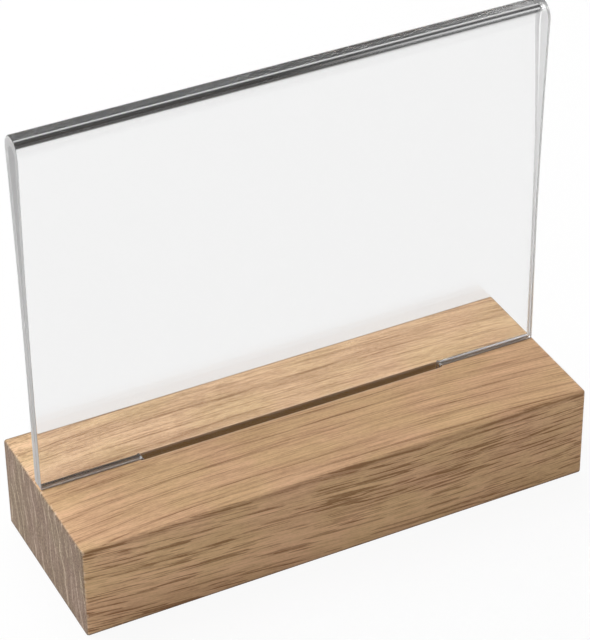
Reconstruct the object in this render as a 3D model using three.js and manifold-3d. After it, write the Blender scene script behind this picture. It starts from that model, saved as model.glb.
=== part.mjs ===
// Table sign holder: a clear acrylic sheet, folded double into a sleeve, stands in a slot in an oak block.
// Millimetres, +Z up. X runs along the block and +Y to its back.
// The origin is the middle of the block's underside.

import * as THREE from 'three';
import { RoundedBoxGeometry } from 'three/addons/geometries/RoundedBoxGeometry.js';
import { mergeVertices } from 'three/addons/utils/BufferGeometryUtils.js';
import Module from 'manifold-3d';

const wasm = await Module();
wasm.setup();

// Insert: the sleeve takes a landscape A6 card
const INSERT_WIDTH = 148;
const INSERT_HEIGHT = 105;
const SIDE_ROOM = 1; // sleeve past the card at each end
const TOP_ROOM = 0.2; // air between the card and the fold
const CARD_GAP = 0.4; // between the walls where they run side by side

// Sleeve: one sheet, bent over at the top
const SHEET = 2;
const CROWN = 3; // thickness over the fold, where the heated sheet is upset and grows thicker
const FOLD_RADIUS = 2.3; // inside the fold
const OVERBEND = 3; // degrees that each wall turns in past upright, which springs the walls together
const PINCH_HEIGHT = 30; // over the block, up to where the walls run side by side
const TONGUE_WIDTH = 91;
const TONGUE_CORNER = 2; // rounds the tongue's lower corners, to lead it into the slot

// Block: solid oak with a stopped slot, milled from above
const END_INSET = 0.6; // block past the sleeve at each end
const BLOCK_DEPTH = 54;
const BLOCK_HEIGHT = 28.7;
const EDGE_RADIUS = 0.8;
const SLOT_DEPTH = 15;
const SLOT_SETBACK = 3.5; // slot's middle behind the block's middle

// Room for the tongue in the slot
const SIDE_CLEARANCE = 0.2;
const END_CLEARANCE = 0.4;
const FLOOR_CLEARANCE = 0.5;

// Fineness of the curves, and the overshoot of a cutting solid
const CURVE_SEGMENTS = 12;
const EDGE_SEGMENTS = 3;
const HANDLE_SHARE = 1 / 3; // length of a wall curve's handles, as a share of its rise
const OVERSHOOT = 5;

// Sizes that follow from the driving dimensions
const sleeveWidth = INSERT_WIDTH + 2 * SIDE_ROOM;
const blockLength = sleeveWidth + 2 * END_INSET;
const pocketTop = INSERT_HEIGHT + TOP_ROOM;
const pinchedThickness = 2 * SHEET + CARD_GAP;
const slotWidth = pinchedThickness + 2 * SIDE_CLEARANCE;
const tongueDepth = SLOT_DEPTH - FLOOR_CLEARANCE;

// The sheet's two faces: how far each lies from the middle at the foot, and the fold's radius and top
const outerFace = { offset: pinchedThickness / 2, radius: FOLD_RADIUS + SHEET, top: pocketTop + CROWN };
const innerFace = { offset: CARD_GAP / 2, radius: FOLD_RADIUS, top: pocketTop };

const oak = new THREE.MeshStandardMaterial({ color: 0xc9a57f, roughness: 0.62, metalness: 0 });
const acrylic = new THREE.MeshStandardMaterial({
  color: 0xf4f6f6,
  roughness: 0.04,
  metalness: 0,
  transparent: true,
  opacity: 0.25,
});

// Closed geometry to a solid that can be cut, and back
function toSolid(geometry) {
  const bare = geometry.clone();
  bare.deleteAttribute('normal');
  bare.deleteAttribute('uv');
  const welded = mergeVertices(bare);
  const vertProperties = new Float32Array(welded.attributes.position.array);
  const triVerts = new Uint32Array(welded.index.array);
  return new wasm.Manifold(new wasm.Mesh({ numProp: 3, vertProperties, triVerts }));
}

function toGeometry(solid) {
  const { vertProperties, triVerts } = solid.getMesh();
  const geometry = new THREE.BufferGeometry();
  geometry.setAttribute('position', new THREE.BufferAttribute(vertProperties, 3));
  geometry.setIndex(new THREE.BufferAttribute(triVerts, 1));
  geometry.computeVertexNormals();
  return geometry;
}

// Extrudes a shape both ways from its own plane. right and up are the world directions of the shape's axes.
function extrudeBothWays(shape, length, right, up) {
  const geometry = new THREE.ExtrudeGeometry(shape, {
    depth: length,
    bevelEnabled: false,
    curveSegments: CURVE_SEGMENTS,
  });
  geometry.translate(0, 0, -length / 2);
  const normal = new THREE.Vector3().crossVectors(right, up);
  return geometry.applyMatrix4(new THREE.Matrix4().makeBasis(right, up, normal));
}

const alongX = new THREE.Vector3(1, 0, 0);
const alongY = new THREE.Vector3(0, 1, 0);
const alongZ = new THREE.Vector3(0, 0, 1);

// Height of the axis that a face of the sheet is bent round
function foldAxis(face) {
  return face.top - face.radius;
}

// One wall of a face: upright to the pinch height, then a curve that opens out to meet the fold.
// side is -1 for the front wall and 1 for the back wall.
function wallOf(face, side) {
  const { offset, radius } = face;
  const turn = THREE.MathUtils.degToRad(OVERBEND);
  const rising = new THREE.Vector2(side * Math.sin(turn), Math.cos(turn));
  const foldEnd = new THREE.Vector2(side * radius * Math.cos(turn), foldAxis(face) - radius * Math.sin(turn));
  const handle = HANDLE_SHARE * (foldEnd.y - PINCH_HEIGHT);
  return {
    foot: new THREE.Vector2(side * offset, -tongueDepth - OVERSHOOT),
    pinch: new THREE.Vector2(side * offset, PINCH_HEIGHT),
    lowHandle: new THREE.Vector2(side * offset, PINCH_HEIGHT + handle),
    highHandle: foldEnd.clone().addScaledVector(rising, -handle),
    foldEnd,
  };
}

function climb(shape, wall) {
  shape.lineTo(wall.foot.x, wall.foot.y);
  shape.lineTo(wall.pinch.x, wall.pinch.y);
  shape.bezierCurveTo(...wall.lowHandle, ...wall.highHandle, ...wall.foldEnd);
}

function descend(shape, wall) {
  shape.bezierCurveTo(...wall.highHandle, ...wall.lowHandle, ...wall.pinch);
  shape.lineTo(wall.foot.x, wall.foot.y);
}

// Section of the folded sheet, before its outline is cut: Y to the right, height over the block upwards
function sleeveSection() {
  const turn = THREE.MathUtils.degToRad(OVERBEND);
  const frontOuter = wallOf(outerFace, -1);
  const section = new THREE.Shape();
  section.moveTo(frontOuter.foot.x, frontOuter.foot.y);
  climb(section, frontOuter);
  section.absarc(0, foldAxis(outerFace), outerFace.radius, Math.PI + turn, -turn, true);
  descend(section, wallOf(outerFace, 1));
  climb(section, wallOf(innerFace, 1));
  section.absarc(0, foldAxis(innerFace), innerFace.radius, -turn, Math.PI + turn, false);
  descend(section, wallOf(innerFace, -1));
  section.closePath();
  return section;
}

// Outline of the sleeve seen from the front: a full-width panel whose shoulders stand on the block,
// at height 0, with the tongue below them
function sleeveOutline() {
  const panel = sleeveWidth / 2;
  const tongue = TONGUE_WIDTH / 2;
  const corner = tongue - TONGUE_CORNER;
  const cornerHeight = TONGUE_CORNER - tongueDepth;
  const outline = new THREE.Shape();
  outline.moveTo(-panel, outerFace.top + OVERSHOOT);
  outline.lineTo(-panel, 0);
  outline.lineTo(-tongue, 0);
  outline.lineTo(-tongue, cornerHeight);
  outline.absarc(-corner, cornerHeight, TONGUE_CORNER, Math.PI, 1.5 * Math.PI, false);
  outline.lineTo(corner, -tongueDepth);
  outline.absarc(corner, cornerHeight, TONGUE_CORNER, 1.5 * Math.PI, 2 * Math.PI, false);
  outline.lineTo(tongue, 0);
  outline.lineTo(panel, 0);
  outline.lineTo(panel, outerFace.top + OVERSHOOT);
  outline.closePath();
  return outline;
}

function makeSleeve() {
  const folded = extrudeBothWays(sleeveSection(), sleeveWidth + 2 * OVERSHOOT, alongY, alongZ);
  const trim = extrudeBothWays(sleeveOutline(), 2 * (outerFace.radius + OVERSHOOT), alongX, alongZ);
  const sleeve = new THREE.Mesh(toGeometry(toSolid(folded).intersect(toSolid(trim))), acrylic);
  sleeve.name = 'acrylic_sleeve';
  sleeve.position.set(0, SLOT_SETBACK, BLOCK_HEIGHT);
  return sleeve;
}

// Plan of the slot. A milling cutter leaves its ends round,
// so they start far enough out to clear the tongue's square corners.
function slotPlan() {
  const radius = slotWidth / 2;
  const roundStart = Math.sqrt(radius ** 2 - (pinchedThickness / 2) ** 2);
  const endCentre = TONGUE_WIDTH / 2 + END_CLEARANCE - roundStart;
  const plan = new THREE.Shape();
  plan.absarc(endCentre, 0, radius, -Math.PI / 2, Math.PI / 2, false);
  plan.absarc(-endCentre, 0, radius, Math.PI / 2, 1.5 * Math.PI, false);
  plan.closePath();
  return plan;
}

function makeBase() {
  const block = new RoundedBoxGeometry(blockLength, BLOCK_DEPTH, BLOCK_HEIGHT, EDGE_SEGMENTS, EDGE_RADIUS);
  block.translate(0, 0, BLOCK_HEIGHT / 2);
  const slot = extrudeBothWays(slotPlan(), 2 * SLOT_DEPTH, alongX, alongY);
  slot.translate(0, SLOT_SETBACK, BLOCK_HEIGHT);
  const base = new THREE.Mesh(toGeometry(toSolid(block).subtract(toSolid(slot))), oak);
  base.name = 'oak_base';
  return base;
}

const signHolder = new THREE.Group();
signHolder.add(makeBase(), makeSleeve());

export default signHolder;
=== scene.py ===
"""Table sign holder: a clear sheet, folded double into a sleeve, stands in a slot in an oak block.

Metres, +Z up. X runs along the block and +Y to its back. The origin is the middle of the block's underside.
"""

import math

import bmesh
import bpy
from mathutils import Matrix, Vector


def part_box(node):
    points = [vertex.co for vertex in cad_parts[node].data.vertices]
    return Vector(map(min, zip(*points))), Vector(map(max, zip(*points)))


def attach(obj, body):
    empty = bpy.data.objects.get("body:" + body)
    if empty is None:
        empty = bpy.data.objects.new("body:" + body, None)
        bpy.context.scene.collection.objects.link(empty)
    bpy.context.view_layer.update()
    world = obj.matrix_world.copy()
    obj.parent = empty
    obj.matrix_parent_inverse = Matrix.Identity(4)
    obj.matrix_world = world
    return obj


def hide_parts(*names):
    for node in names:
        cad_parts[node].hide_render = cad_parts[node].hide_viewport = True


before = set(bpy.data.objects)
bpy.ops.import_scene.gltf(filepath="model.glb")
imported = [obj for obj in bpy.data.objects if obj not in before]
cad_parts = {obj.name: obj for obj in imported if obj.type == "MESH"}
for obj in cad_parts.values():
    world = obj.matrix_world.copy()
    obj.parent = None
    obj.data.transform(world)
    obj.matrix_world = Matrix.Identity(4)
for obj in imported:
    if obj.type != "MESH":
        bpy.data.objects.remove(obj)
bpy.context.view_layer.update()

MM = 0.001

# Sizes read from the frame
block_low, block_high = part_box("oak_base")
sleeve_low, sleeve_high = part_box("acrylic_sleeve")
BLOCK_TOP = block_high.z
SLEEVE_Y = (sleeve_low.y + sleeve_high.y) / 2
PANEL_HALF = sleeve_high.x
FOLD_TOP = sleeve_high.z - BLOCK_TOP
TONGUE_DEPTH = BLOCK_TOP - sleeve_low.z

# Sleeve: one sheet, bent over at the top
SHEET = 2 * MM
CARD_GAP = 0.4 * MM  # between the walls where they run side by side
CROWN = 3 * MM  # thickness over the fold
FOLD_RADIUS = 2.3 * MM  # inside the fold
OVERBEND = math.radians(3)  # by which each wall turns in past upright
PINCH_HEIGHT = 30 * MM  # over the block, up to where the walls run side by side
HANDLE_SHARE = 1 / 3  # length of a wall curve's handles, as a share of its rise
TONGUE_HALF = 45.5 * MM
TONGUE_CORNER = 2 * MM
PANEL_CORNER = 0.4 * MM
RIM_RADIUS = 0.15 * MM  # eases the sheet's cut edges
SHOULDER_GAP = 0.05 * MM  # between the shoulders and the wood
RELIEF_RADIUS = 0.35 * MM  # round notch in each corner between shoulder and tongue
INNER_OFFSET = CARD_GAP / 2  # from the middle of the slot to a wall's inner face
OUTER_OFFSET = INNER_OFFSET + SHEET

# Finishes of the sheet, in the order of its materials, and where they lie on the flat blank
CLEAR, DULL_EDGE, HAZE, FOOT, BRIGHT_EDGE, FOLD, REAR_FOOT = range(7)
FOOT_BAND = 0.4 * MM  # height of the foot over the shoulders, over which each foot gets its painted shade
FOLD_REACH = 1.8 * MM  # both ways from the crown of the fold, over which the sheet is tinted dark as a painted shade
HAZE_START = 2.2 * MM  # from the blank's ends
HAZE_MARGIN = 0.05 * MM  # between the haze's border and the panel's round corners
VERTEX_TOLERANCE = 0.01 * MM  # a vertex this near to a line lies on it
LEFT, RIGHT = -1, 1
FRONT, BACK = -1, 1
HAZE_SHARE = {  # how far the haze, a grey painted shade, reaches in, as a share of the pocket's width
    (LEFT, FRONT): 0.06,
    (LEFT, BACK): 0.42,
    (RIGHT, FRONT): 0.45,
    (RIGHT, BACK): 0.25,
}
FLAT_NORMAL = 0.9  # least Z in the normal of a flat face of the blank
OUTSIDE_NORMAL = -0.1  # faces with less Z in their normal are on the sheet's outside

# Block and its slot
EDGE_RADIUS = 0.8 * MM
SIDE_CLEARANCE = 0.2 * MM
END_CLEARANCE = 0.4 * MM
FLOOR_CLEARANCE = 0.5 * MM
SLOT_ARRIS = 0.12 * MM
SLOT_HALF = OUTER_OFFSET + SIDE_CLEARANCE
SLOT_FLOOR = sleeve_low.z - FLOOR_CLEARANCE
SLOT_END = TONGUE_HALF + END_CLEARANCE - math.sqrt(SLOT_HALF**2 - OUTER_OFFSET**2)  # middle of its round end

# Fineness of the curves
RIM_SEGMENTS = 4
CORNER_STEPS = 6
WALL_STEPS = 24
FOLD_STEPS = 28
EDGE_SEGMENTS = 8
SLOT_END_STEPS = 24
ARRIS_STEPS = 5
ROUND_PROFILE = 0.5
CUT_TOLERANCE = 1e-7

# Sockets of a mix node that mixes colours
MIX_SHARE, MIX_FIRST, MIX_SECOND, MIX_RESULT = 0, 6, 7, 2

# Acrylic. At each surface, a pass is the share of light that goes through, a clearness is the tint of that
# light, and a shadow is the share of lamp light that is left for what lies behind.
ACRYLIC_IOR = 1.49
POLISHED_PASS = 0.985
POLISHED_SHADOW = 0.66
SHEET_CLEARNESS = 0.955
# Dark tint over the fold's crown: painted shade for the dark bands in the fold
FOLD_SHADE_CLEARNESS = 0.4
# Nearly black polished acrylic on the rear foot's cut edges: painted shade
REAR_FOOT_SHADE_CLEARNESS = 0.02
FROSTED_ROUGHNESS = 0.35
FROSTED_SHADOW = 0.9
EDGE_PASS = 0.55
# A lighter copy of the cut edge: painted light on the right end and a painted highlight at the relief corners
BRIGHT_EDGE_PASS = 0.7
FOOT_PASS = 0.25
DULL_EDGE_GREY = 0.73
BRIGHT_EDGE_GREY = 0.84
# Grey frosted haze inside the pocket's open ends: painted shade
HAZE_SHADE_GREY = 0.4
# Frosted like the cut edges, with a dark brown that is painted shade along the front foot
FOOT_SHADE_COLOUR = (0.2, 0.155, 0.125, 1)

# Oak's colours
LIGHT_OAK = (0.72, 0.475, 0.275, 1)
DARK_OAK = (0.27, 0.14, 0.062, 1)
END_OAK = (0.262, 0.18, 0.125, 1)
END_LINE = (0.56, 0.445, 0.34, 1)
END_PORE = (0.11, 0.07, 0.045, 1)
# Pale worn wood for the chips at the ends, and a painted highlight round the slot's rim
WORN_AND_HIGHLIGHT_OAK = (0.85, 0.67, 0.5, 1)
# Dark brown on the slot's walls: painted shade
SLOT_SHADE_OAK = (0.32, 0.14, 0.01, 1)
# Nearly black deep in the slot: painted shade
DEEP_SHADE_OAK = (0.03, 0.018, 0.01, 1)
# Dark on the underside, its edges and the top's back edge: painted shade
EDGE_SHADE_OAK = (0.1, 0.075, 0.06, 1)
# Paler, bluer tint on the top behind the slot: painted light
BACK_LIGHT_TINT = (1.06, 1.13, 1.19, 1)
RED_TINT = (1.03, 0.98, 0.99, 1)
YELLOW_TINT = (1.0, 1.0, 0.93, 1)

# Oak's patterns, in millimetres. A lump is the size of a noise's lumps along X, Y and Z. A range is where a
# noise, a place or another value makes its change, and levels are what the change goes from and to.
SOFT, FINE, FINEST = 1.0, 2.0, 3.0  # detail of a noise
FADE = (1.0, 0.0)

# Growth rings round a pith line along the block, and how the grain leaves its straight course
PITH_Y, PITH_Z = 105.0, -14.0
RING = 4.3
RING_UNEVEN = 1.1  # in rings
RING_LUMP = (70.0, 9.0, 9.0)
LEAN_BACK = (0.015, 0.0005)  # slope along X, and its change
LEAN_DOWN = (0.04, -0.0004)
SWAY = 3.0
SWAY_LUMP = (75.0, 45.0, 45.0)

# Long grain. Lengths are along the top and along the front, and what shows is thin across and runs deep.
THREAD_DEPTH = 6.0
LINE_RANGE = (0.0, 0.3)  # of a ring
LINE_LEVELS = (0.3, 1.0)
BREAK_LENGTHS, BREAK_THICK = (40.0, 40.0), 1.2
BREAK_RANGE = (0.34, 0.6)
PORE_LENGTHS, PORE_THICK = (24.0, 10.0), 0.42
PORE_RANGE = (0.54, 0.61)
PORE_RING_RANGE = (0.1, 0.7)
PORE_RING_LEVELS = (1.0, 0.4)
VESSEL_LUMP = (17.0, THREAD_DEPTH, 0.7)
VESSEL_RANGE = (0.57, 0.61)
STREAK_LENGTHS, STREAK_THICK = (48.0, 36.0), 1.0
BAND_LUMP = (110.0, 5.0, 5.0)
FIBRE_LUMP = (9.0, 0.36, 0.36)
GRIT_LUMP = (1.1, 0.4, 0.4)
FIGURE_WEIGHTS = {
    "line": 0.5,
    "pores": 0.45,
    "vessel": 0.6,
    "flat_sawn": -0.02,
    "streak": 0.5,
    "band": 0.8,
    "fibre": 0.65,
    "grit": 0.45,
}
FIGURE_LEVEL = 0.94  # taken off the weighted sum
COARSE_WEIGHTS = {"fibre": 0.7, "grit": 0.6, "pores": 0.25}
COARSE_LEVEL = 0.65
COARSE_RANGE = (0.0, 12.0)  # of Y

# Blotches of colour, and the dark streak under the top edges
BLOTCH_LUMP = (24.0, 13.0, 13.0)
BLOTCH_RANGE = (0.35, 0.65)
EDGE_STREAK_FROM, EDGE_STREAK_TO = (0.25, 0.7), (1.1, 2.1)  # under the top
PATCH_LUMP = (14.0, 9.0, 9.0)
PATCH_RANGE = (0.35, 0.6)
PATCH_LEVELS = (0.24, 0.42)

# End grain, which keeps its pattern for a long way along the block
END_DEPTH = 60.0
END_RING_RANGE = (0.08, 0.24)  # of a ring
END_RING_WEIGHT = 0.75
END_BREAK_LUMP = (END_DEPTH, 2.5, 9.0)
END_BREAK_RANGE = (0.36, 0.5)
WAVE_LUMP = (END_DEPTH, 1.0, 14.0)
WAVE_RANGE = (0.48, 0.62)
WAVE_LEVELS = (0.0, 0.3)
DOT_LUMP = (END_DEPTH, 0.5, 0.6)
DOT_RANGE = (0.54, 0.68)
DOT_LEVELS = (0.0, 0.4)
SPECK_LUMP = (END_DEPTH, 0.45, 0.8)
SPECK_RANGE = (0.5, 0.68)
SPECK_LEVELS = (0.0, 0.45)
END_NORMAL_RANGE = (0.42, 0.8)  # of X in the normal

# Wear, painted highlight and painted shade, and the share of their colour
CHIPS_FROM, CHIPS_TO = (-0.9, -0.6), (-0.35, -0.05)  # from the ends
CHIP_LUMP = (1.5, 1.6, 1.6)
CHIP_RANGE = (0.5, 0.62)
CHIP_LEVELS = (0.0, 0.32)
SLOT_HIGHLIGHT_WIDTH = 0.6  # width of the painted highlight round the slot
SLOT_HIGHLIGHT_SHARE = 0.45
SLOT_SHADE_RANGE = (0.3, 1.1)  # under the top, where the slot's walls get painted shade
SLOT_SHADE_SHARE = 0.85
DEEP_RANGE = (3.0, 7.0)  # under the top, where the slot gets a darker painted shade
FLOOR_MARGIN = 1.0  # under the slot's floor, to where the slot's painted shade still counts
SOLE_RANGE = (0.4, 1.1)  # over the underside, where the painted contact shadow fades
SOLE_SHARE = 0.75
BACK_LIGHT_RANGE = (0.0, 10.0)  # of Y, over which the top behind the slot is painted paler
# Painted shade along the top's back edge
BACK_EDGE_RANGE = (-1.1, -0.75)  # from the back
BACK_EDGE_HEIGHT = (-0.9, -0.4)  # from the top
BACK_EDGE_SHARE = 0.6

# Oak's surface
OAK_ROUGHNESS = 0.5
FIBRE_ROUGHNESS = 0.25
OAK_SPECULAR = 0.25
PORE_RELIEF, FIBRE_RELIEF = -1.0, 0.6
BUMP_STRENGTH = 0.35
BUMP_DEPTH = 0.12 * MM

# Floor. Clear and glossy surfaces see it dimmer far out and far behind the block.
FLOOR_SIZE = 6
FLOOR_ALBEDO = 0.8
FLOOR_ROUGHNESS = 0.9
FLOOR_WHITE = 0.92
FLOOR_DIM = 0.4
FLOOR_FAR_OUT = (0.35, 0.6)
FLOOR_FAR_BACK = (0.27, 0.36)

# Room that clear and glossy surfaces see: angles over the horizon in degrees, and X of the direction
WALL_START = (2, 5)
WALL_LEVEL = 0.02
CEILING_START = (30, 37)
CEILING_SIDE = (0.37, 0.46)
CEILING_LEVELS = (0.02, 1.0)
HORIZON_SIDE = (0.3, 0.5)
HORIZON_LEVELS = (0.35, 0.65)

# Light on matt surfaces, and the bounces that it takes to see through the fold
SKY_FILL = 0.53
SOFTBOX_PLACE = Vector((-0.25, 0.6, 1.0))
SOFTBOX_AIM = Vector((0, 0, 0.05))
SOFTBOX_SIZE = (1.2, 0.9)
SOFTBOX_POWER = 13.6
BOUNCES = 96

# Camera, fitted to the photograph's edges
IMAGE_LONG_SIDE = 640
FOCAL_PIXELS = 2786.5
SENSOR = 36
CAMERA_AZIMUTH = math.radians(-26.26)
CAMERA_ELEVATION = math.radians(35.22)
CAMERA_ROLL = math.radians(-0.745)
CAMERA_DISTANCE = 778.3 * MM
CAMERA_AIM = Vector((12.3, 25.6, 40.3)) * MM
CLIP_START, CLIP_END = 0.01, 100


def new_piece(name, mesh_source, materials, body, node):
    """Makes an object of a bmesh that stands for a CAD node and rides on its body."""
    mesh = bpy.data.meshes.new(name)
    bmesh.ops.recalc_face_normals(mesh_source, faces=mesh_source.faces)
    for face in mesh_source.faces:
        face.smooth = True
    mesh_source.to_mesh(mesh)
    mesh_source.free()
    for material in materials:
        mesh.materials.append(material)
    piece = bpy.data.objects.new(name, mesh)
    bpy.context.scene.collection.objects.link(piece)
    piece.modifiers.new("flat_faces_stay_flat", "WEIGHTED_NORMAL")
    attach(piece, body)
    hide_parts(node)


# Sleeve


def bezier(points, share):
    a, b, c, d = points
    rest = 1 - share
    return rest**3 * a + 3 * rest**2 * share * b + 3 * rest * share**2 * c + share**3 * d


def wall_face(offset, radius, top):
    """Points of one face of the back wall, from its foot to the crown of the fold.

    A point is Y from the middle of the slot and the height over the block.
    """
    axis = top - radius
    rising = Vector((math.sin(OVERBEND), math.cos(OVERBEND)))
    fold_end = Vector((radius * math.cos(OVERBEND), axis - radius * math.sin(OVERBEND)))
    handle = HANDLE_SHARE * (fold_end.y - PINCH_HEIGHT)
    pinch = Vector((offset, PINCH_HEIGHT))
    curve = (pinch, pinch + Vector((0, handle)), fold_end - handle * rising, fold_end)
    points = [Vector((offset, -TONGUE_DEPTH))]
    points += [bezier(curve, i / WALL_STEPS) for i in range(WALL_STEPS + 1)]
    for i in range(1, FOLD_STEPS + 1):
        angle = -OVERBEND + (math.pi / 2 + OVERBEND) * i / FOLD_STEPS
        points.append(Vector((radius * math.cos(angle), axis + radius * math.sin(angle))))
    return points


def sheet_rows():
    """Rows across the sheet, from the front foot over the fold to the back foot.

    A row is the run along the sheet, the outer point and the inner point. On the front wall's straight part
    the run is the height over the block.
    """
    outer = wall_face(OUTER_OFFSET, FOLD_RADIUS + SHEET, FOLD_TOP)
    inner = wall_face(INNER_OFFSET, FOLD_RADIUS, FOLD_TOP - CROWN)
    back = list(zip(outer, inner))
    flip = Vector((-1, 1))
    front = [(a * flip, b * flip) for a, b in back]
    pairs = front + back[-2::-1]
    middles = [(outer_point + inner_point) / 2 for outer_point, inner_point in pairs]
    run = -TONGUE_DEPTH
    rows = [(run, *pairs[0])]
    for last_middle, middle, pair in zip(middles, middles[1:], pairs[1:]):
        run += (middle - last_middle).length
        rows.append((run, *pair))
    return rows


def corner_arc(centre, radius, start):
    """Quarter circle, counter-clockwise from the angle start."""
    angles = [start + math.pi / 2 * i / CORNER_STEPS for i in range(CORNER_STEPS + 1)]
    return [centre + radius * Vector((math.cos(a), math.sin(a))) for a in angles]


def blank_outline(fold_run):
    """Outline of the flat sheet before it is folded: X, and the run along the sheet.

    It is a wide panel with a tongue at each end. The shoulders beside the tongues lie just over the block.
    """
    tongue = TONGUE_HALF - TONGUE_CORNER
    low = TONGUE_CORNER - TONGUE_DEPTH
    panel = PANEL_HALF - PANEL_CORNER
    right = [Vector((0, -TONGUE_DEPTH))]
    right += corner_arc(Vector((tongue, low)), TONGUE_CORNER, -math.pi / 2)
    relief = Vector((TONGUE_HALF + RELIEF_RADIUS, SHOULDER_GAP))
    for i in range(2 * CORNER_STEPS + 1):
        angle = math.pi * (1 - i / (2 * CORNER_STEPS))
        right.append(relief + RELIEF_RADIUS * Vector((math.cos(angle), math.sin(angle))))
    right += corner_arc(Vector((panel, SHOULDER_GAP + PANEL_CORNER)), PANEL_CORNER, -math.pi / 2)
    right += [Vector((p.x, 2 * fold_run - p.y)) for p in reversed(right)]
    left = [Vector((-p.x, p.y)) for p in reversed(right) if p.x > 0]
    return right + left


def on_the_fold(rows, run, share):
    """Point of the folded sheet. share goes from 0 on the outer face to 1 on the inner one."""
    for (low, outer_low, inner_low), (high, outer_high, inner_high) in zip(rows, rows[1:]):
        if run <= high:
            break
    along = (run - low) / (high - low)
    return outer_low.lerp(outer_high, along).lerp(inner_low.lerp(inner_high, along), share)


def haze_edge(rows, fold_run, x, run):
    """X of the inner border of the haze, a grey band of painted shade inside the open ends of the pocket.

    It reaches further in where the walls stand further apart, and not as far on every wall. At the shoulders
    it stays clear of the panel's round corners.
    """
    end = RIGHT if x > 0 else LEFT
    wall = BACK if run > fold_run else FRONT
    gap = 2 * abs(on_the_fold(rows, run, 1).x)
    reach = 2 * RIM_RADIUS + HAZE_SHARE[end, wall] * gap
    over_shoulder = min(run, 2 * fold_run - run) - SHOULDER_GAP
    if over_shoulder < RIM_RADIUS + VERTEX_TOLERANCE:
        reach = max(reach, PANEL_CORNER + HAZE_MARGIN)
    return end * (PANEL_HALF - reach)


def slice_sheet(sheet, place, normal):
    everything = sheet.verts[:] + sheet.edges[:] + sheet.faces[:]
    bmesh.ops.bisect_plane(sheet, geom=everything, plane_co=place, plane_no=normal, dist=CUT_TOLERANCE)


def sheet_finish(face, fold_run):
    """Finish of a face of the flat blank, whose Z points from the sheet's outside to its inside."""
    middle = face.calc_center_median()
    x = abs(middle.x)
    is_rim = abs(face.normal.z) < FLAT_NORMAL
    over_shoulder = abs(middle.y - SHOULDER_GAP)
    over_rear_shoulder = abs(2 * fold_run - SHOULDER_GAP - middle.y)
    if x > PANEL_HALF - HAZE_START and face.normal.z > OUTSIDE_NORMAL:
        if middle.x > 0:
            # painted light: the right end gets the lighter copy of the cut edge
            return BRIGHT_EDGE
        # painted shade: grey haze on the back wall's inside at the left end
        return HAZE if middle.y > fold_run and face.normal.z > FLAT_NORMAL else DULL_EDGE
    from_relief = math.hypot(x - TONGUE_HALF - RELIEF_RADIUS, over_shoulder)
    # painted highlight: the relief corners get the lighter copy of the cut edge
    if from_relief < RELIEF_RADIUS + 2 * RIM_RADIUS and is_rim:
        return BRIGHT_EDGE
    if x > TONGUE_HALF + RELIEF_RADIUS:
        if over_shoulder < FOOT_BAND:
            # painted shade: the front foot is dark brown frosted acrylic
            return FOOT
        if over_rear_shoulder < FOOT_BAND and is_rim:
            # painted shade: the rear foot's cut edges are nearly black acrylic
            return REAR_FOOT
    # painted shade: near the crown the sheet is tinted dark
    return FOLD if abs(middle.y - fold_run) < FOLD_REACH else CLEAR


def make_sleeve(materials):
    """Cuts the flat blank, eases its edges and folds it."""
    rows = sheet_rows()
    fold_run = (rows[0][0] + rows[-1][0]) / 2
    sheet = bmesh.new()
    face = sheet.faces.new([sheet.verts.new((p.x, p.y, 0)) for p in blank_outline(fold_run)])
    extruded = bmesh.ops.extrude_face_region(sheet, geom=[face])["geom"]
    inside = [part for part in extruded if isinstance(part, bmesh.types.BMVert)]
    bmesh.ops.translate(sheet, vec=(0, 0, SHEET), verts=inside)
    bmesh.ops.bevel(
        sheet,
        geom=[edge for edge in sheet.edges if edge.verts[0].co.z == edge.verts[1].co.z],
        offset=RIM_RADIUS,
        segments=RIM_SEGMENTS,
        profile=ROUND_PROFILE,
        affect="EDGES",
    )
    for end in (RIGHT, LEFT):
        slice_sheet(sheet, (end * (PANEL_HALF - HAZE_START), 0, 0), (1, 0, 0))
    for run in [SHOULDER_GAP + FOOT_BAND] + [row[0] for row in rows[1:-1]]:
        slice_sheet(sheet, (0, run, 0), (0, 1, 0))
    sheet.normal_update()
    for face in sheet.faces:
        face.material_index = sheet_finish(face, fold_run)
    for vert in sheet.verts:
        x, run, depth = vert.co
        point = on_the_fold(rows, run, depth / SHEET)
        if abs(abs(x) - PANEL_HALF + HAZE_START) < VERTEX_TOLERANCE:
            x = haze_edge(rows, fold_run, x, run)
        vert.co = (x, SLEEVE_Y + point.x, BLOCK_TOP + point.y)
    new_piece("clear_sleeve", sheet, materials, "sleeve", "acrylic_sleeve")


# Block


def slot_ring(block, grow, height):
    """Ring of vertices round the slot, whose ends are round, as a milling cutter leaves them."""
    radius = SLOT_HALF + grow
    ring = []
    for side in (1, -1):
        for i in range(SLOT_END_STEPS + 1):
            angle = math.pi * (i / SLOT_END_STEPS - 0.5)
            x = side * (SLOT_END + radius * math.cos(angle))
            y = SLEEVE_Y + side * radius * math.sin(angle)
            ring.append(block.verts.new((x, y, height)))
    return ring


def join_rings(block, upper, lower):
    for i in range(len(upper)):
        block.faces.new((upper[i - 1], upper[i], lower[i], lower[i - 1]))


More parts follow.
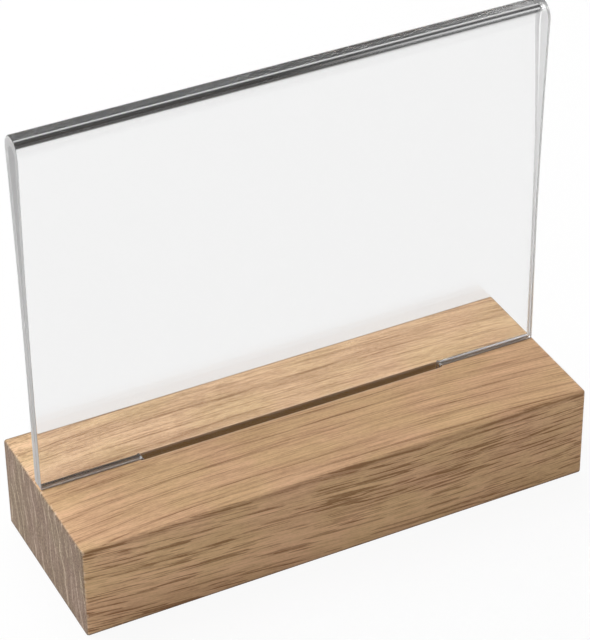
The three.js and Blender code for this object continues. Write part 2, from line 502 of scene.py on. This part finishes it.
def make_block(material):
    """A box with rounded edges, whose top is filled again round the slot."""
    size = block_high - block_low
    block = bmesh.new()
    bmesh.ops.create_cube(block, size=1)
    for vert in block.verts:
        vert.co = (vert.co.x * size.x, vert.co.y * size.y, (vert.co.z + 0.5) * size.z)
    bmesh.ops.bevel(
        block,
        geom=block.edges[:],
        offset=EDGE_RADIUS,
        segments=EDGE_SEGMENTS,
        profile=ROUND_PROFILE,
        affect="EDGES",
    )
    top = max(block.faces, key=lambda face: face.calc_center_median().z)
    top_edges = top.edges[:]
    bmesh.ops.delete(block, geom=[top], context="FACES_ONLY")
    rings = []
    for i in range(ARRIS_STEPS + 1):
        angle = math.pi / 2 * i / ARRIS_STEPS
        grow = SLOT_ARRIS * (1 - math.sin(angle))
        rings.append(slot_ring(block, grow, BLOCK_TOP - SLOT_ARRIS * (1 - math.cos(angle))))
    rings.append(slot_ring(block, 0, SLOT_FLOOR))
    mouth = rings[0]
    mouth_edges = [block.edges.new(pair) for pair in zip(mouth, mouth[1:] + mouth[:1])]
    bmesh.ops.triangle_fill(block, use_beauty=True, edges=top_edges + mouth_edges)
    for upper, lower in zip(rings, rings[1:]):
        join_rings(block, upper, lower)
    block.faces.new(rings[-1])
    new_piece("oak_block", block, (material,), "base", "oak_base")


# Nodes


def fill_socket(tree, socket, value):
    """Sets a socket to a value, or links it to the socket that feeds it."""
    if isinstance(value, bpy.types.NodeSocket):
        tree.links.new(value, socket)
    else:
        socket.default_value = value


def add_node(tree, kind, inputs=None, **settings):
    """Adds a shader node. inputs maps a socket's name or number to what fills it."""
    made = tree.nodes.new(kind)
    for name, value in settings.items():
        setattr(made, name, value)
    for key, value in (inputs or {}).items():
        fill_socket(tree, made.inputs[key], value)
    return made


def maths(tree, operation, *values):
    return add_node(tree, "ShaderNodeMath", dict(enumerate(values)), operation=operation).outputs[0]


def vector_maths(tree, operation, *values):
    return add_node(tree, "ShaderNodeVectorMath", dict(enumerate(values)), operation=operation).outputs[0]


def split(tree, vector):
    return add_node(tree, "ShaderNodeSeparateXYZ", {0: vector}).outputs


def hypotenuse(tree, a, b):
    squares = maths(tree, "ADD", maths(tree, "MULTIPLY", a, a), maths(tree, "MULTIPLY", b, b))
    return maths(tree, "SQRT", squares)


def weighted_sum(tree, start, parts, weights):
    total = start
    for name, weight in weights.items():
        total = maths(tree, "MULTIPLY_ADD", parts[name], weight, total)
    return total


def step(tree, value, low, high, from_value=0.0, to_value=1.0):
    """Smooth change from one value to the other while the input goes from low to high."""
    inputs = {"Value": value, "From Min": low, "From Max": high, "To Min": from_value, "To Max": to_value}
    return add_node(tree, "ShaderNodeMapRange", inputs, interpolation_type="SMOOTHSTEP").outputs[0]


def between(tree, value, rise, fall):
    """1 between two ranges, in which it rises and falls."""
    return maths(tree, "MULTIPLY", step(tree, value, *rise), step(tree, value, *fall, *FADE))


def noise(tree, place, lump, detail=FINE, output="Fac"):
    """Noise of about 0.3 to 0.7, whose lumps have a length along each axis."""
    scaled = vector_maths(tree, "DIVIDE", place, lump)
    made = add_node(tree, "ShaderNodeTexNoise", {"Vector": scaled, "Scale": 1.0, "Detail": detail})
    return made.outputs[output]


def mix_colour(tree, share, first, second, blend="MIX"):
    inputs = {MIX_SHARE: share, MIX_FIRST: first, MIX_SECOND: second}
    made = add_node(tree, "ShaderNodeMix", inputs, data_type="RGBA", blend_type=blend)
    return made.outputs[MIX_RESULT]


def paint(tree, mask, strength, colour, paint_colour):
    """Mixes in a colour where the mask is 1, as far as the strength says."""
    return mix_colour(tree, maths(tree, "MULTIPLY", mask, strength), colour, paint_colour)


def mix_shaders(tree, share, first, second):
    """Mixes two shaders into the material's surface."""
    mix = add_node(tree, "ShaderNodeMixShader", {0: share, 1: first.outputs[0], 2: second.outputs[0]})
    tree.links.new(mix.outputs[0], tree.nodes["Material Output"].inputs["Surface"])


def grey(level):
    return (level, level, level, 1)


def new_material(name):
    material = bpy.data.materials.new(name)
    material.use_nodes = True
    tree = material.node_tree
    return material, tree, tree.nodes["Principled BSDF"]


# Acrylic


def let_lamps_through(tree, shader, shadow):
    """Lets lamp light through the sheet, with a loss at each surface."""
    path = add_node(tree, "ShaderNodeLightPath")
    clear = add_node(tree, "ShaderNodeBsdfTransparent", {"Color": grey(shadow)})
    mix_shaders(tree, path.outputs["Is Shadow Ray"], shader, clear)


def acrylic_material(name, clearness):
    """Polished acrylic."""
    material, tree, shader = new_material(name)
    shader.inputs["Base Color"].default_value = grey(clearness)
    shader.inputs["Roughness"].default_value = 0.0
    shader.inputs["IOR"].default_value = ACRYLIC_IOR
    shader.inputs["Transmission Weight"].default_value = POLISHED_PASS
    let_lamps_through(tree, shader, POLISHED_SHADOW)
    return material


def frosted_material(name, colour, light_pass):
    """Sanded acrylic: the sheet's cut edges, and copies of it that paint light and shade: the grey haze
    inside the open ends, the dark foot and the lighter edge.
    """
    material, tree, shader = new_material(name)
    shader.inputs["Base Color"].default_value = colour
    shader.inputs["Roughness"].default_value = FROSTED_ROUGHNESS
    shader.inputs["IOR"].default_value = ACRYLIC_IOR
    shader.inputs["Transmission Weight"].default_value = light_pass
    let_lamps_through(tree, shader, FROSTED_SHADOW)
    return material


def sheet_materials():
    """The sheet's materials, in the order of its finishes."""
    return (
        acrylic_material("clear_acrylic", SHEET_CLEARNESS),
        frosted_material("acrylic_cut_edge", grey(DULL_EDGE_GREY), EDGE_PASS),
        frosted_material("acrylic_haze_shade", grey(HAZE_SHADE_GREY), EDGE_PASS),
        frosted_material("acrylic_foot_shade", FOOT_SHADE_COLOUR, FOOT_PASS),
        frosted_material("acrylic_bright_edge_painted_light", grey(BRIGHT_EDGE_GREY), BRIGHT_EDGE_PASS),
        acrylic_material("acrylic_fold_shade", FOLD_SHADE_CLEARNESS),
        acrylic_material("acrylic_rear_foot_shade", REAR_FOOT_SHADE_CLEARNESS),
    )


# Oak


def from_edge(edge, distances):
    """A range that is measured from an edge in metres, as a range in millimetres."""
    return [edge / MM + distance for distance in distances]


def grain_place(tree):
    """Place in the wood in millimetres, as it is and with the grain's drift and sway taken out of Y and Z."""
    coords = add_node(tree, "ShaderNodeTexCoord")
    place = vector_maths(tree, "DIVIDE", coords.outputs["Object"], (MM, MM, MM))
    x, y, z = split(tree, place)
    _, sway_y, sway_z = split(tree, noise(tree, place, SWAY_LUMP, SOFT, "Color"))
    straight = []
    for across, sway, (slope, bend) in ((y, sway_y, LEAN_BACK), (z, sway_z, LEAN_DOWN)):
        drift = maths(tree, "MULTIPLY", x, maths(tree, "MULTIPLY_ADD", x, bend, slope))
        wave = maths(tree, "MULTIPLY_ADD", sway, SWAY, -SWAY / 2)
        straight.append(maths(tree, "ADD", across, maths(tree, "ADD", drift, wave)))
    grain = add_node(tree, "ShaderNodeCombineXYZ", {0: x, 1: straight[0], 2: straight[1]}).outputs[0]
    return place, grain


def growth_rings(tree, grain):
    """Place in a growth ring, from 0 at its porous start to 1, and a number by chance for each ring."""
    _, y, z = split(tree, grain)
    from_pith = hypotenuse(tree, maths(tree, "SUBTRACT", y, PITH_Y), maths(tree, "SUBTRACT", z, PITH_Z))
    count = maths(tree, "DIVIDE", from_pith, -RING)
    count = maths(tree, "MULTIPLY_ADD", noise(tree, grain, RING_LUMP, SOFT), RING_UNEVEN, count)
    whole = maths(tree, "FLOOR", count)
    chance = add_node(tree, "ShaderNodeTexWhiteNoise", {"W": whole}, noise_dimensions="1D")
    return maths(tree, "FRACT", count), chance.outputs["Value"]


def long_noise(tree, grain, flat_sawn, lengths, thick, detail=SOFT):
    """Noise of long lumps along the grain, thin across the face that shows them and deep under it."""
    on_top = noise(tree, grain, (lengths[0], thick, THREAD_DEPTH), detail)
    on_side = noise(tree, grain, (lengths[1], THREAD_DEPTH, thick), detail)
    return maths(tree, "MULTIPLY_ADD", flat_sawn, maths(tree, "SUBTRACT", on_side, on_top), on_top)


def oak_figure(tree, grain, phase, chance, flat_sawn):
    """Darkness of long grain, from 0 to 1, with its pores and fibres.

    flat_sawn is 1 on the front and back. The figure of the top grows coarser towards its back.
    """
    quarter_sawn = maths(tree, "SUBTRACT", 1.0, flat_sawn)
    unbroken = step(tree, long_noise(tree, grain, flat_sawn, BREAK_LENGTHS, BREAK_THICK), *BREAK_RANGE)
    line = maths(tree, "MULTIPLY", step(tree, phase, *LINE_RANGE, *FADE), unbroken)
    line = maths(tree, "MULTIPLY", line, step(tree, chance, 0.0, 1.0, *LINE_LEVELS))
    pores = step(tree, long_noise(tree, grain, flat_sawn, PORE_LENGTHS, PORE_THICK), *PORE_RANGE)
    pores = maths(tree, "MULTIPLY", pores, step(tree, phase, *PORE_RING_RANGE, *PORE_RING_LEVELS))
    vessel = step(tree, noise(tree, grain, VESSEL_LUMP, SOFT), *VESSEL_RANGE)
    parts = {
        "line": maths(tree, "MULTIPLY", line, quarter_sawn),
        "pores": pores,
        "vessel": maths(tree, "MULTIPLY", vessel, flat_sawn),
        "flat_sawn": flat_sawn,
        "streak": long_noise(tree, grain, flat_sawn, STREAK_LENGTHS, STREAK_THICK, FINEST),
        "band": noise(tree, grain, BAND_LUMP),
        "fibre": noise(tree, grain, FIBRE_LUMP),
        "grit": noise(tree, grain, GRIT_LUMP),
    }
    dark = weighted_sum(tree, 0.0, parts, FIGURE_WEIGHTS)
    coarser = weighted_sum(tree, -COARSE_LEVEL, parts, COARSE_WEIGHTS)
    _, y, _ = split(tree, grain)
    coarse = maths(tree, "MULTIPLY", step(tree, y, *COARSE_RANGE), quarter_sawn)
    dark = maths(tree, "MULTIPLY_ADD", coarse, coarser, dark)
    return maths(tree, "SUBTRACT", dark, FIGURE_LEVEL), pores, parts["fibre"]


def edge_line(tree, place):
    """A dark streak in the wood just under the top edges, from 0 to about 0.4."""
    _, _, z = split(tree, place)
    under = maths(tree, "SUBTRACT", BLOCK_TOP / MM, z)
    patchy = step(tree, noise(tree, place, PATCH_LUMP), *PATCH_RANGE, *PATCH_LEVELS)
    return maths(tree, "MULTIPLY", between(tree, under, EDGE_STREAK_FROM, EDGE_STREAK_TO), patchy)


def end_grain(tree, place, phase):
    """Colour of the cut ends: grey brown with broken, wavy rings, pale dots and dark pores."""
    unbroken = step(tree, noise(tree, place, END_BREAK_LUMP, SOFT), *END_BREAK_RANGE)
    ring = maths(tree, "MULTIPLY", unbroken, step(tree, phase, *END_RING_RANGE, *FADE))
    waves = step(tree, noise(tree, place, WAVE_LUMP), *WAVE_RANGE, *WAVE_LEVELS)
    dots = step(tree, noise(tree, place, DOT_LUMP, SOFT), *DOT_RANGE, *DOT_LEVELS)
    specks = step(tree, noise(tree, place, SPECK_LUMP, SOFT), *SPECK_RANGE, *SPECK_LEVELS)
    light = maths(tree, "MULTIPLY_ADD", ring, END_RING_WEIGHT, waves)
    light = maths(tree, "ADD", light, dots)
    return mix_colour(tree, specks, mix_colour(tree, light, END_OAK, END_LINE), END_PORE)


def worn_ends(tree, place):
    """Pale chips along the edges of the cut ends, from 0 to about 0.3."""
    x, _, _ = split(tree, place)
    out = maths(tree, "ABSOLUTE", x)
    edge = between(tree, out, from_edge(block_high.x, CHIPS_FROM), from_edge(block_high.x, CHIPS_TO))
    chips = step(tree, noise(tree, place, CHIP_LUMP), *CHIP_RANGE, *CHIP_LEVELS)
    return maths(tree, "MULTIPLY", edge, chips)


def slot_masks(tree, place):
    """1 on the slot's rim, where a highlight is painted, 1 on its walls, where shade is painted, and 1 deep
    down in it, where a darker shade is painted.
    """
    x, y, z = split(tree, place)
    across = maths(tree, "SUBTRACT", y, SLEEVE_Y / MM)
    past_end = maths(tree, "SUBTRACT", maths(tree, "ABSOLUTE", x), SLOT_END / MM)
    away = hypotenuse(tree, maths(tree, "MAXIMUM", past_end, 0.0), across)
    under = maths(tree, "SUBTRACT", BLOCK_TOP / MM, z)
    in_plan = maths(tree, "LESS_THAN", away, (SLOT_HALF + SLOT_ARRIS) / MM)
    over_floor = maths(tree, "GREATER_THAN", z, SLOT_FLOOR / MM - FLOOR_MARGIN)
    within = maths(tree, "MULTIPLY", in_plan, over_floor)
    slot_shade = maths(tree, "MULTIPLY", within, step(tree, under, *SLOT_SHADE_RANGE))
    deep = maths(tree, "MULTIPLY", within, step(tree, under, *DEEP_RANGE))
    near = step(tree, away, *from_edge(SLOT_HALF, (0.0, SLOT_HIGHLIGHT_WIDTH)), *FADE)
    rim_highlight = maths(tree, "MULTIPLY", near, maths(tree, "LESS_THAN", under, SLOT_ARRIS / MM))
    return rim_highlight, slot_shade, deep


def sole_shade(tree, place):
    """1 on the underside and along its edges, where a contact shadow is painted."""
    _, _, z = split(tree, place)
    return step(tree, z, *SOLE_RANGE, *FADE)


def back_of_top(tree, place, upright):
    """1 behind the slot, where the top is painted paler as if lit more, and 1 along the top's back edge,
    where shade is painted.
    """
    _, y, z = split(tree, place)
    pale = maths(tree, "MULTIPLY", step(tree, y, *BACK_LIGHT_RANGE), upright)
    far_back = step(tree, y, *from_edge(block_high.y, BACK_EDGE_RANGE))
    high_up = step(tree, z, *from_edge(BLOCK_TOP, BACK_EDGE_HEIGHT))
    return pale, maths(tree, "MULTIPLY", far_back, high_up)


def oak_colour(tree, place, phase, dark, upright, end_on):
    """Colour of the oak. upright is 1 on the top, and end_on is 1 on the cut ends."""
    blotch = step(tree, noise(tree, place, BLOTCH_LUMP), *BLOTCH_RANGE)
    tint = mix_colour(tree, blotch, RED_TINT, YELLOW_TINT)
    along = mix_colour(tree, dark, LIGHT_OAK, DARK_OAK)
    along = mix_colour(tree, 1.0, along, tint, "MULTIPLY")
    pale, back_edge = back_of_top(tree, place, upright)
    # painted light: the top behind the slot is paler
    along = mix_colour(tree, pale, along, BACK_LIGHT_TINT, "MULTIPLY")
    # painted shade along the top's back edge
    along = paint(tree, back_edge, BACK_EDGE_SHARE, along, EDGE_SHADE_OAK)

    end = mix_colour(tree, 1.0, end_grain(tree, place, phase), tint, "MULTIPLY")
    colour = mix_colour(tree, step(tree, end_on, *END_NORMAL_RANGE), along, end)
    colour = mix_colour(tree, worn_ends(tree, place), colour, WORN_AND_HIGHLIGHT_OAK)
    rim_highlight, slot_shade, deep = slot_masks(tree, place)
    # painted highlight round the slot's rim
    colour = paint(tree, rim_highlight, SLOT_HIGHLIGHT_SHARE, colour, WORN_AND_HIGHLIGHT_OAK)
    # painted shade on the slot's walls
    colour = paint(tree, slot_shade, SLOT_SHADE_SHARE, colour, SLOT_SHADE_OAK)
    # painted shade deep in the slot
    colour = mix_colour(tree, deep, colour, DEEP_SHADE_OAK)
    # painted contact shadow on the underside and its edges
    return paint(tree, sole_shade(tree, place), SOLE_SHARE, colour, EDGE_SHADE_OAK)


def oak_material():
    material, tree, shader = new_material("oak")
    place, grain = grain_place(tree)
    phase, chance = growth_rings(tree, grain)
    normal = add_node(tree, "ShaderNodeNewGeometry").outputs["Normal"]
    end_on, side_on, upright = split(tree, vector_maths(tree, "ABSOLUTE", normal))
    dark, pores, fibre = oak_figure(tree, grain, phase, chance, side_on)
    dark = maths(tree, "ADD", dark, maths(tree, "MULTIPLY", edge_line(tree, place), side_on))
    tree.links.new(oak_colour(tree, place, phase, dark, upright, end_on), shader.inputs["Base Color"])

    rough = maths(tree, "MULTIPLY_ADD", fibre, FIBRE_ROUGHNESS, OAK_ROUGHNESS)
    tree.links.new(rough, shader.inputs["Roughness"])
    shader.inputs["Specular IOR Level"].default_value = OAK_SPECULAR
    height = maths(tree, "MULTIPLY_ADD", pores, PORE_RELIEF, maths(tree, "MULTIPLY", fibre, FIBRE_RELIEF))
    bump = {"Height": height, "Strength": BUMP_STRENGTH, "Distance": BUMP_DEPTH}
    tree.links.new(add_node(tree, "ShaderNodeBump", bump).outputs[0], shader.inputs["Normal"])
    return material


# Stage


def floor_material():
    """Pale floor that is white to the camera and keeps the object's shadow."""
    material, tree, shader = new_material("pale_floor")
    shader.inputs["Base Color"].default_value = grey(FLOOR_ALBEDO)
    shader.inputs["Roughness"].default_value = FLOOR_ROUGHNESS
    place = add_node(tree, "ShaderNodeTexCoord").outputs["Object"]
    away = add_node(tree, "ShaderNodeVectorMath", {0: place}, operation="LENGTH").outputs["Value"]
    _, behind, _ = split(tree, place)
    level = maths(
        tree,
        "MINIMUM",
        step(tree, away, *FLOOR_FAR_OUT, FLOOR_WHITE, FLOOR_DIM),
        step(tree, behind, *FLOOR_FAR_BACK, FLOOR_WHITE, FLOOR_DIM),
    )
    path = add_node(tree, "ShaderNodeLightPath")
    level = maths(tree, "MAXIMUM", level, path.outputs["Is Camera Ray"])
    level = maths(tree, "MINIMUM", level, FLOOR_WHITE)
    seen = maths(tree, "MAXIMUM", path.outputs["Is Camera Ray"], path.outputs["Is Transmission Ray"])
    seen = maths(tree, "MAXIMUM", seen, path.outputs["Is Glossy Ray"])
    glow = add_node(tree, "ShaderNodeEmission", {"Color": grey(1), "Strength": 1.0})
    mix_shaders(tree, maths(tree, "MULTIPLY", seen, level), shader, glow)
    return material


def make_floor():
    bpy.ops.mesh.primitive_plane_add(size=FLOOR_SIZE, location=(0, 0, 0))
    floor = bpy.context.object
    floor.name = "floor"
    floor.data.materials.append(floor_material())


def sines(angles):
    return [math.sin(math.radians(angle)) for angle in angles]


def make_world():
    """White to the camera, and an even fill on matt surfaces.

    Clear and glossy surfaces see a room with a grey horizon, dark walls and a ceiling that is bright on the
    right. It draws the dark lines in the fold.
    """
    world = bpy.data.worlds.new("studio")
    bpy.context.scene.world = world
    world.use_nodes = True
    tree = world.node_tree
    x, _, z = split(tree, add_node(tree, "ShaderNodeTexCoord").outputs["Generated"])
    ceiling = step(tree, z, *sines(CEILING_START))
    ceiling = maths(tree, "MULTIPLY", ceiling, step(tree, x, *CEILING_SIDE, *CEILING_LEVELS))
    upper = maths(tree, "ADD", ceiling, WALL_LEVEL)
    horizon = step(tree, x, *HORIZON_SIDE, *HORIZON_LEVELS)
    above = step(tree, z, *sines(WALL_START))
    room = maths(tree, "MULTIPLY_ADD", above, maths(tree, "SUBTRACT", upper, horizon), horizon)
    path = add_node(tree, "ShaderNodeLightPath")
    seen = maths(tree, "MAXIMUM", path.outputs["Is Transmission Ray"], path.outputs["Is Glossy Ray"])
    level = maths(tree, "MULTIPLY_ADD", seen, maths(tree, "SUBTRACT", room, SKY_FILL), SKY_FILL)
    level = maths(tree, "MAXIMUM", level, path.outputs["Is Camera Ray"])
    background = tree.nodes["Background"]
    background.inputs["Color"].default_value = grey(1)
    tree.links.new(level, background.inputs["Strength"])


def make_softbox():
    """Large lamp over the back. It lights the wood, and mirror-like surfaces don't show it."""
    lamp = bpy.data.lights.new("softbox_above", "AREA")
    lamp.shape = "RECTANGLE"
    lamp.size, lamp.size_y = SOFTBOX_SIZE
    lamp.energy = SOFTBOX_POWER
    lamp.cycles.use_multiple_importance_sampling = False
    softbox = bpy.data.objects.new("softbox_above", lamp)
    softbox.location = SOFTBOX_PLACE
    softbox.rotation_euler = (SOFTBOX_AIM - SOFTBOX_PLACE).to_track_quat("-Z", "Y").to_euler()
    softbox.visible_transmission = False
    bpy.context.scene.collection.objects.link(softbox)


def make_camera():
    data = bpy.data.cameras.new("camera")
    data.sensor_width = SENSOR
    data.lens = FOCAL_PIXELS * SENSOR / IMAGE_LONG_SIDE
    data.clip_start, data.clip_end = CLIP_START, CLIP_END
    flat = math.cos(CAMERA_ELEVATION)
    back = Vector((
        math.sin(CAMERA_AZIMUTH) * flat,
        -math.cos(CAMERA_AZIMUTH) * flat,
        math.sin(CAMERA_ELEVATION),
    ))
    right = Vector((0, 0, 1)).cross(back).normalized()
    up = back.cross(right)
    turn = Matrix.Rotation(CAMERA_ROLL, 3, back)
    axes = Matrix((turn @ right, turn @ up, back)).transposed()
    camera = bpy.data.objects.new("camera", data)
    camera.matrix_world = Matrix.Translation(CAMERA_AIM + CAMERA_DISTANCE * back) @ axes.to_4x4()
    bpy.context.scene.collection.objects.link(camera)
    bpy.context.scene.camera = camera


scene = bpy.context.scene
scene.view_settings.view_transform = "Standard"
scene.cycles.max_bounces = BOUNCES
scene.cycles.glossy_bounces = BOUNCES
scene.cycles.transmission_bounces = BOUNCES
make_block(oak_material())
make_sleeve(sheet_materials())
make_floor()
make_world()
make_softbox()
make_camera()
